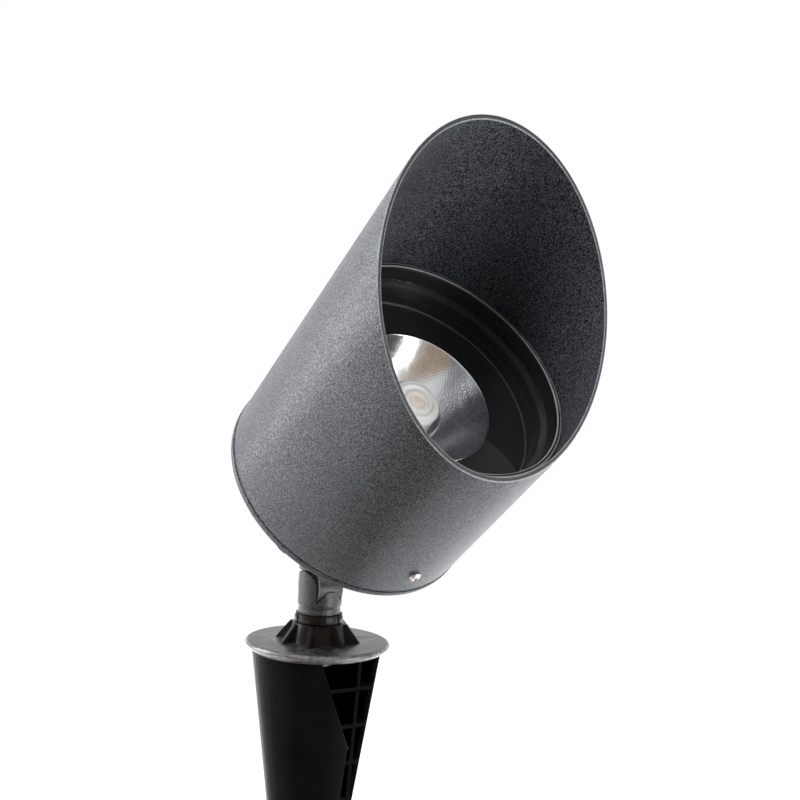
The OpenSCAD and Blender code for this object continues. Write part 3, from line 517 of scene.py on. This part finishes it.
# ---------------------------------------------------------------- hood
def hood_shell():
    """Tube with a slant cut mouth, rounded rim corners and a thick band at its rear."""
    count, rows, inner_rows, lip_steps = 320, 56, 44, 4
    middle = (HOOD_LONG + HOOD_SHORT) / 2
    slope = (HOOD_LONG - HOOD_SHORT) / (2 * HOOD_R)
    foot = 0.5
    bm = bmesh.new()
    rings = []
    for i in range(count):
        a = FULL * i / count
        outer = Vector((HOOD_R, middle + HOOD_R * math.sin(a) * slope))
        inner = Vector((HOOD_BORE, middle + HOOD_BORE * math.sin(a) * slope))
        across = (inner - outer).normalized() * RIM_CORNER
        top = Vector((HOOD_R, outer.y - RIM_CORNER))
        low = Vector((HOOD_BORE, inner.y - RIM_CORNER))
        wall = [Vector((HOOD_R - 0.4, 0)), Vector((HOOD_R - 0.1, 0.12)), Vector((HOOD_R, foot))]
        wall += [Vector((HOOD_R, foot + (top.y - foot) * k / rows)) for k in range(1, rows)]
        outer_lip = [bend(top, outer, outer + across, k / lip_steps) for k in range(lip_steps + 1)]
        inner_lip = [bend(inner - across, inner, low, k / lip_steps) for k in range(lip_steps + 1)]
        lining = [
            Vector((HOOD_BORE, low.y + (BAND_LEN + 0.4 - low.y) * k / inner_rows))
            for k in range(1, inner_rows + 1)]
        band = [
            Vector((HOOD_BORE - 0.4, BAND_LEN)), Vector((BAND_BORE + 0.3, BAND_LEN)),
            Vector((BAND_BORE, BAND_LEN - 0.3)), Vector((BAND_BORE, 0.4)), Vector((BAND_BORE + 0.4, 0)),
        ]
        line = wall + outer_lip + inner_lip + lining + band
        rings.append([bm.verts.new((p.x * math.cos(a) * MM, p.x * math.sin(a) * MM, p.y * MM)) for p in line])
    # Each finish starts at one point of the line: wall, outer corner, cut face, inner corner, inside. The
    # corners carry painted highlight lines, and the cut face and the inside carry painted shade.
    finishes = [0] * len(wall) + [3] * lip_steps + [2] + [3] * lip_steps
    finishes += [1] * (len(line) - len(finishes))
    for one, two in zip(rings, rings[1:] + rings[:1]):
        for k, finish in enumerate(finishes):
            m = (k + 1) % len(line)
            bm.faces.new([one[k], two[k], two[m], one[m]]).material_index = finish
    bmesh.ops.recalc_face_normals(bm, faces=bm.faces)
    coats = ["coat", "coat_inner_painted_shade", "coat_rim_painted_shade", "coat_edge_painted_highlight"]
    obj = new_object("hood_shell", bm, coats, "hood", HEAD, 40.0)
    hole = HEAD @ Matrix.Translation((0, -HOOD_R * MM, SCREW_S * MM)) @ Matrix.Rotation(math.pi / 2, 4, "X")
    bore(obj, SCREW_R + SCREW_PLAY, 9, hole)
    smoothed(obj.data, 40.0)
    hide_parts("hood")


hood_shell()

# ---------------------------------------------------------------- lens, cup and ring
pane = lathe(
    "front_pane",
    [(0, GLASS_BACK, 0), (GLASS_R, GLASS_BACK, 0.5), (GLASS_R, GLASS_FRONT, 0.5), (0, GLASS_FRONT, 0)],
    "front_glass", 160, closed=False)
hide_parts("lens_glass")

ring = lathe(
    "clamp_ring",
    [
        (RING_R, HOUSING_LEN + 0.1, 0.2), (RING_R, RING_FRONT, 0.4), (RING_R - 0.9, RING_FRONT, 0.05),
        (RING_BORE + 0.9, RING_FRONT, 0.35),
        (RING_BORE + 0.7, RING_FRONT - 0.5, 0.1), (RING_BORE, RING_FRONT - 1.1, 0.3),
        (RING_BORE, GLASS_FRONT + 0.1, 0.2), (GLASS_R, GLASS_FRONT + 0.1, 0.2),
        (GLASS_R, HOUSING_LEN + 0.1, 0.1),
    ],
    "black_trim", 256,
    # Painted highlight lines on the ring's outer and inner front edges
    edges=((RING_R - 0.4, RING_FRONT - 0.1, 0.5), (RING_BORE + 0.8, RING_FRONT - 0.25, 0.4)))
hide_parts("lens_ring")

cup = lathe(
    "black_cup",
    [
        (CUP_MOUTH, CUP_FLOOR_S - CUP_WALL, 0.1), (CUP_FLOOR_R + CUP_WALL, CUP_FLOOR_S - CUP_WALL, 0.2),
        (CUP_TOP_R, CUP_TOP_S, 0.2), (CUP_TOP_R - CUP_WALL, CUP_TOP_S, 0.2),
        (CUP_FLOOR_R + 0.5, CUP_FLOOR_S + CUP_STEP, 0.3), (CUP_FLOOR_R - 0.6, CUP_FLOOR_S + CUP_STEP, 0.3),
        (CUP_FLOOR_R - 1.1, CUP_FLOOR_S, 0.2), (CUP_MOUTH, CUP_FLOOR_S, 0.3),
    ],
    "black_trim", 256,
    # Painted highlight line on the cup's step
    edges=((CUP_FLOOR_R - 0.6, CUP_FLOOR_S + 0.85, 0.16),))
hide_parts("baffle_cup")


# ---------------------------------------------------------------- reflector
def reflector():
    """Bowl with fine diamond facets inside, a smooth back and a rolled bright lip."""
    count, rows = 120, 34
    height = BOWL_MOUTH_S - BOWL_FOOT_S
    growth = BOWL_MOUTH_R ** 2 - BOWL_FOOT_R ** 2
    bm = bmesh.new()

    def bowl_ring(share, turn=0.0, wall=0.0):
        r = math.sqrt(BOWL_FOOT_R ** 2 + share * growth) + wall
        return ring_of(bm, r, BOWL_FOOT_S + height * share, count, turn)

    inner = [bowl_ring((k / rows) ** 1.15, 0.5 * (k % 2)) for k in range(rows + 1)]
    for k in range(rows - 1):
        odd = k % 2
        for i in range(count):
            j = (i + 1) % count
            corners = [
                inner[k][j], inner[k + 1][(i + 1 + odd) % count],
                inner[k + 2][j], inner[k + 1][(i + odd) % count]]
            middle = sum((v.co for v in corners), Vector()) / 4
            middle -= Vector((middle.x, middle.y, 0)).normalized() * FACET_BULGE * MM
            peak = bm.verts.new(middle)
            for a, b in zip(corners, corners[1:] + corners[:1]):
                bm.faces.new([a, b, peak])
    for i in range(count):
        j = (i + 1) % count
        bm.faces.new([inner[0][i], inner[0][j], inner[1][i]])
        bm.faces.new([inner[rows - 1][i], inner[rows][j], inner[rows][i]])
    lip = [
        ring_of(bm, BOWL_MOUTH_R + r, BOWL_MOUTH_S + s, count)
        for r, s in ((0.12, 0.2), (0.5, 0.35), (0.88, 0.2), (1.0, -0.3))]
    back = [bowl_ring(share, wall=1.0) for share in (0.9, 0.7, 0.5, 0.35, 0.2, 0.08, 0.0)]
    bands = [inner[rows]] + lip + back + [inner[0]]
    for one, two in zip(bands, bands[1:]):
        for i in range(count):
            j = (i + 1) % count
            bm.faces.new([one[i], one[j], two[j], two[i]]).smooth = True
    bmesh.ops.recalc_face_normals(bm, faces=bm.faces)
    obj = new_object("reflector_facets", bm, ["reflector_metal"], "head", HEAD, 0)
    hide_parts("reflector")


reflector()


# ---------------------------------------------------------------- centre optic
def centre_optic():
    """Lens with rings in its front, as (share of the radius, depth) points."""
    back = OPTIC_FRONT - OPTIC_DEPTH
    points = [
        (0, back, 0), (OPTIC_R * 0.72, back + 1.4, 0.3), (OPTIC_R, OPTIC_FRONT - 6.4, 0.3),
        (OPTIC_R, OPTIC_FRONT - 1.2, 0.4), (OPTIC_R * 0.93, OPTIC_FRONT - 0.5, 0.4),
    ]
    rings = (
        (0.84, 0.5), (0.80, 0.05), (0.70, 0.0), (0.66, 0.5), (0.52, 0.45), (0.48, 0.0), (0.34, 0.0),
        (0.30, 0.45), (0.18, 0.35))
    points += [(OPTIC_R * share, OPTIC_FRONT - depth, 0.25) for share, depth in rings]
    points.append((0, OPTIC_FRONT - 0.1, 0))
    obj = lathe("centre_lens", points, "optic_resin", 128, closed=False)
    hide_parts("optic")


centre_optic()

# ---------------------------------------------------------------- cast, moulded and hidden parts
recast("rear_cap", "head", "coat", 0.4)
recast("knuckle_arm", "head", "coat_knuckle", 0.5, inner=False)
recast("lock_ring", "lock_ring", "stake_plastic", 0.12)
recast("ground_stake", "stake", "stake_plastic", 0.25)
recast("set_screw", "hood", "steel", 0.25)
recast("cap_screws", "head", "steel", 0.2)
recast("arm_screws", "head", "steel", 0.25)
recast("pivot_bolt", "stem", "steel", 0.2)

for node, mat in (
    ("optic_holder", "collar"), ("knuckle_stem", "coat_knuckle"), ("cable_bushing", "seal"),
    ("pivot_washers", "washer_plastic"), ("arm_gasket", "seal"), ("cap_gasket", "seal"),
    ("housing", "housing_coat"), ("driver_module", "driver_case"), ("lead_grommet", "seal"),
    ("led_leads", "lead_sleeve"), ("thermal_pad", "pad"), ("led_board", "board"), ("led_emitter", "phosphor"),
    ("led_screws", "steel"), ("lens_gasket", "seal"),
):
    dress(node, mat)


# ---------------------------------------------------------------- floor, lamps and world
def make_floor():
    """Pale floor that the camera sees as white far off, with the object's shadow near it."""
    sh = Shader("floor", Roughness=0.9)
    sh.color(sh.ramp(sh.noise(14, 3.0), (0.3, (0.84, 0.84, 0.84)), (0.7, (0.87, 0.87, 0.87))))
    path = sh.node("ShaderNodeLightPath").outputs
    # Light that the floor throws back on the object is dimmed
    dark = sh.node("ShaderNodeBsdfDiffuse")
    dark.inputs["Color"].default_value = (0.12, 0.12, 0.12, 1)
    lit = sh.mix_shaders(path["Is Diffuse Ray"], sh.bsdf.outputs[0], dark.outputs[0])
    glow = sh.node("ShaderNodeEmission").outputs[0]
    seen = sh.math("MAXIMUM", path["Is Camera Ray"], path["Is Transmission Ray"])
    far = sh.step(sh.vector("LENGTH", sh.coords)["Value"], 0.25, 1.1, 0.55, 1.0)
    shown = sh.mix_shaders(sh.math("MULTIPLY", seen, far), lit, glow)
    # In reflections the floor in front of the lamp is the warm dim side of the room
    flat = sh.vector("NORMALIZE", sh.coords)[0]
    side = sh.step(sh.vector("DOT_PRODUCT", flat, (-0.62, -0.78, 0.0))["Value"], 0.55, 0.9)
    room = sh.node("ShaderNodeEmission")
    room.inputs["Color"].default_value = (*WARM_ROOM, 1)
    mirrored = sh.math("MULTIPLY", path["Is Glossy Ray"], side)
    sh.feed(sh.mix_shaders(mirrored, shown, room.outputs[0]), sh.surface)
    bm = bmesh.new()
    bmesh.ops.create_circle(bm, cap_ends=True, segments=96, radius=6.0)
    obj = link("floor", as_mesh("floor", bm))
    obj.data.materials.append(sh.mat)
    obj.location = (0, 0, cad_low.z - 0.0005)


def place_lamp(name, data, place, aim, mirrored):
    """Sets a lamp at place and turns it to aim; mirrored says whether reflections show it."""
    obj = link(name, data)
    obj.visible_glossy = mirrored
    obj.location = place
    obj.rotation_mode = "QUATERNION"
    obj.rotation_quaternion = (Vector(aim) - Vector(place)).to_track_quat("-Z", "Y")


def make_lamp(name, place, aim, size, watts, mirrored=False):
    data = bpy.data.lights.new(name, "AREA")
    data.shape = "RECTANGLE"
    data.size, data.size_y = size
    data.energy = watts
    place_lamp(name, data, place, aim, mirrored)


def make_spot(name, place, aim, angle, watts, radius):
    data = bpy.data.lights.new(name, "SPOT")
    data.spot_size = math.radians(angle)
    data.spot_blend = 1.0
    data.shadow_soft_size = radius
    data.energy = watts
    place_lamp(name, data, place, aim, False)


def make_world():
    """Plain light for surfaces, a studio for reflections and white for the camera."""
    world = bpy.data.worlds.new("world")
    bpy.context.scene.world = world
    world.use_nodes = True
    world.node_tree.nodes.clear()
    nodes = Nodes(world.node_tree)
    path = nodes.node("ShaderNodeLightPath").outputs
    direction = nodes.node("ShaderNodeTexCoord").outputs["Generated"]

    def background(color, strength):
        made = nodes.node("ShaderNodeBackground")
        nodes.feed(color, made.inputs["Color"])
        nodes.feed(strength, made.inputs["Strength"])
        return made.outputs[0]

    # The studio is white, warm and dim in front of the lamp, and shaded to the upper right
    front = nodes.vector("DOT_PRODUCT", direction, (-0.62, -0.76, 0.15))["Value"]
    tint = nodes.mix(nodes.step(front, 0.1, 0.85, 1.0, 0.0), (*WARM_ROOM, 1), WHITE)
    upper_right = nodes.vector("DOT_PRODUCT", direction, (0.65, -0.18, 0.74))["Value"]
    studio = background(tint, nodes.step(upper_right, 0.75, 0.97, 1.0, 0.25))
    plain = background((0.96, 0.98, 1.0, 1), 0.2)
    lit = nodes.mix_shaders(path["Is Glossy Ray"], plain, studio)
    seen = nodes.math("MAXIMUM", path["Is Camera Ray"], path["Is Transmission Ray"])
    out = nodes.node("ShaderNodeOutputWorld")
    nodes.feed(nodes.mix_shaders(seen, lit, background(WHITE, 1.0)), out.inputs["Surface"])


make_floor()
AIM = (0, -0.08, 0.13)
SOFT = (0.7, 0.7)
make_lamp("lamp_right", (1.2, -0.1, 0.25), AIM, SOFT, 18.0)
make_lamp("lamp_front", (0.75, -1.1, -0.08), AIM, (0.7, 0.24), 10.0)
make_lamp("lamp_front_right", (0.9, -0.95, 0.5), AIM, SOFT, 4.0)
make_lamp("lamp_left_top", (-0.85, -0.25, 1.0), AIM, SOFT, 30.0)
make_lamp("lamp_back_top", (0.1, 1.0, 1.0), AIM, SOFT, 29.0)
make_lamp("lamp_left", (-0.95, 0.9, 0.55), AIM, (0.9, 1.3), 23.0, mirrored=True)
make_lamp("lamp_low", (0.24, -0.61, -0.08), (0, -0.1, 0.12), (0.35, 0.12), 1.1, mirrored=True)
make_spot("lamp_optic", HEAD @ Vector((0, 0, 1.0)), HEAD @ Vector((0, 0, 0.07)), 5.0, 11.0, 0.06)
make_spot("lamp_inner", Vector((0.95, -0.95, 0.1)), HEAD @ Vector((-0.02, 0.06, 0.14)), 9.0, 230.0, 0.25)
make_world()

scene = bpy.context.scene
scene.view_settings.view_transform = "Standard"
